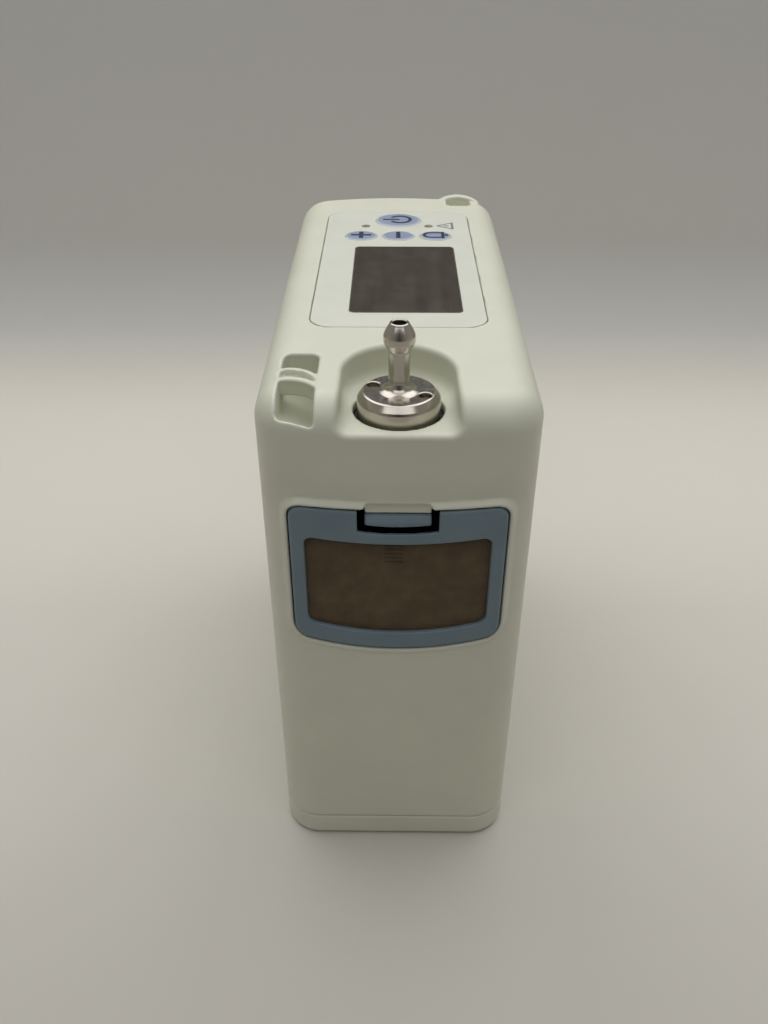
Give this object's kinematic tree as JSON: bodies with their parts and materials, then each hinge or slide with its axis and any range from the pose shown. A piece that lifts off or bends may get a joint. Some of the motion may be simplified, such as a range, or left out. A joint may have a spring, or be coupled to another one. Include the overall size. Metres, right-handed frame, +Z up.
{
  "type": "portable oxygen concentrator",
  "caption": "Slim upright portable oxygen concentrator with top keypad and display, barbed gas outlet, latched air filter at the narrow end and slide-off battery base.",
  "frame": {"origin": "middle of the footprint on the surface that the feet rest on", "axes": "+X across the narrow width, -Y towards the end with the filter and outlet, +Z up"},
  "size_m": [0.068, 0.1608, 0.164],
  "materials": {
    "housing_plastic": "satin moulded",
    "panel_film": "smooth satin film",
    "display_tint": "tinted gloss",
    "key_blue": "satin",
    "frame_slate": "satin",
    "screen_mesh": "fine open mesh",
    "steel": "turned",
    "alloy": "cast and anodised",
    "dark_plastic": "satin",
    "rubber": "matt",
    "board": "solder mask",
    "soft_tube": "translucent",
    "foam": "open cell",
    "cell_can": "wrapped",
    "lamp": "tinted"
  },
  "bodies": {
    "housing": {"main_housing": "housing_plastic", "base_chassis": "dark_plastic", "chassis_screws": "steel", "keypad_panel": "panel_film", "display_window": "display_tint", "display_module": "alloy", "control_board": "board", "board_screws": "steel", "dome_switches": "steel", "indicator_lights": "lamp", "buzzer": "dark_plastic", "outlet_fitting": "steel", "outlet_seal": "rubber", "outlet_filter": "foam", "outlet_socket": "dark_plastic", "conserver_valve": "alloy", "product_tube": "soft_tube", "intake_grille": "dark_plastic", "fan_frame": "dark_plastic", "compressor_frame": "alloy", "compressor_motor": "alloy", "compressor_cylinders": "alloy", "compressor_heads": "alloy", "shaft_bearings": "steel", "vibration_mounts": "rubber", "valve_bracket": "alloy", "valve_manifold": "alloy", "solenoid_valves": "dark_plastic", "feed_tubes": "soft_tube", "intake_tube": "soft_tube", "column_tubes": "soft_tube", "sieve_column_left": "alloy", "sieve_column_right": "alloy", "column_caps": "dark_plastic", "column_cradle": "dark_plastic", "product_tank": "dark_plastic", "intake_silencer": "dark_plastic", "power_board": "board", "power_connector": "dark_plastic", "acoustic_foam": "foam", "dc_inlet": "dark_plastic", "usb_port": "steel", "exhaust_grille": "housing_plastic"},
    "power_key": {"power_button": "key_blue"},
    "plus_key": {"plus_button": "key_blue"},
    "minus_key": {"minus_button": "key_blue"},
    "alert_key": {"alert_button": "key_blue"},
    "filter_cartridge": {"filter_frame": "frame_slate", "filter_screen": "screen_mesh"},
    "filter_tab": {"filter_catch": "frame_slate"},
    "fan": {"fan_rotor": "dark_plastic"},
    "crankshaft": {"compressor_shaft": "steel"},
    "battery_pack": {"battery_case": "housing_plastic", "battery_lid": "dark_plastic", "battery_cells": "cell_can", "battery_board": "board", "battery_contacts": "dark_plastic", "battery_feet": "rubber"},
    "battery_latch": {"battery_catch": "frame_slate"}
  },
  "joints": [
    {"name": "power_key_press", "type": "slide", "parent": "housing", "child": "power_key", "axis": [0, 0.0375, -0.9993], "range_m": [0, 0.0005], "stiffness_N_per_m": 3000, "springref_m": -0.0001},
    {"name": "plus_key_press", "type": "slide", "parent": "housing", "child": "plus_key", "axis": [0, 0.0375, -0.9993], "range_m": [0, 0.0005], "stiffness_N_per_m": 3000, "springref_m": -0.0001},
    {"name": "minus_key_press", "type": "slide", "parent": "housing", "child": "minus_key", "axis": [0, 0.0375, -0.9993], "range_m": [0, 0.0005], "stiffness_N_per_m": 3000, "springref_m": -0.0001},
    {"name": "alert_key_press", "type": "slide", "parent": "housing", "child": "alert_key", "axis": [0, 0.0375, -0.9993], "range_m": [0, 0.0005], "stiffness_N_per_m": 3000, "springref_m": -0.0001},
    {"name": "filter_pull", "type": "slide", "parent": "housing", "child": "filter_cartridge", "axis": [0, -1, 0], "range_m": [0, 0.02]},
    {"name": "filter_tab_press", "type": "slide", "parent": "filter_cartridge", "child": "filter_tab", "axis": [0, 0, -1], "range_m": [0, 0.0015], "stiffness_N_per_m": 1500, "springref_m": -0.0003},
    {"name": "fan_spin", "type": "hinge", "parent": "housing", "child": "fan", "pos_m": [0, 0, 0.10145], "axis": [0, 1, 0], "continuous": true},
    {"name": "crankshaft_spin", "type": "hinge", "parent": "housing", "child": "crankshaft", "pos_m": [0, 0, 0.0535], "axis": [0, 1, 0], "continuous": true},
    {"name": "battery_slide", "type": "slide", "parent": "housing", "child": "battery_pack", "axis": [0, 1, 0], "range_m": [0, 0.165]},
    {"name": "battery_latch_press", "type": "slide", "parent": "battery_pack", "child": "battery_latch", "axis": [0, 0, -1], "range_m": [0, 0.0025], "stiffness_N_per_m": 1500, "springref_m": -0.0003}
  ]
}
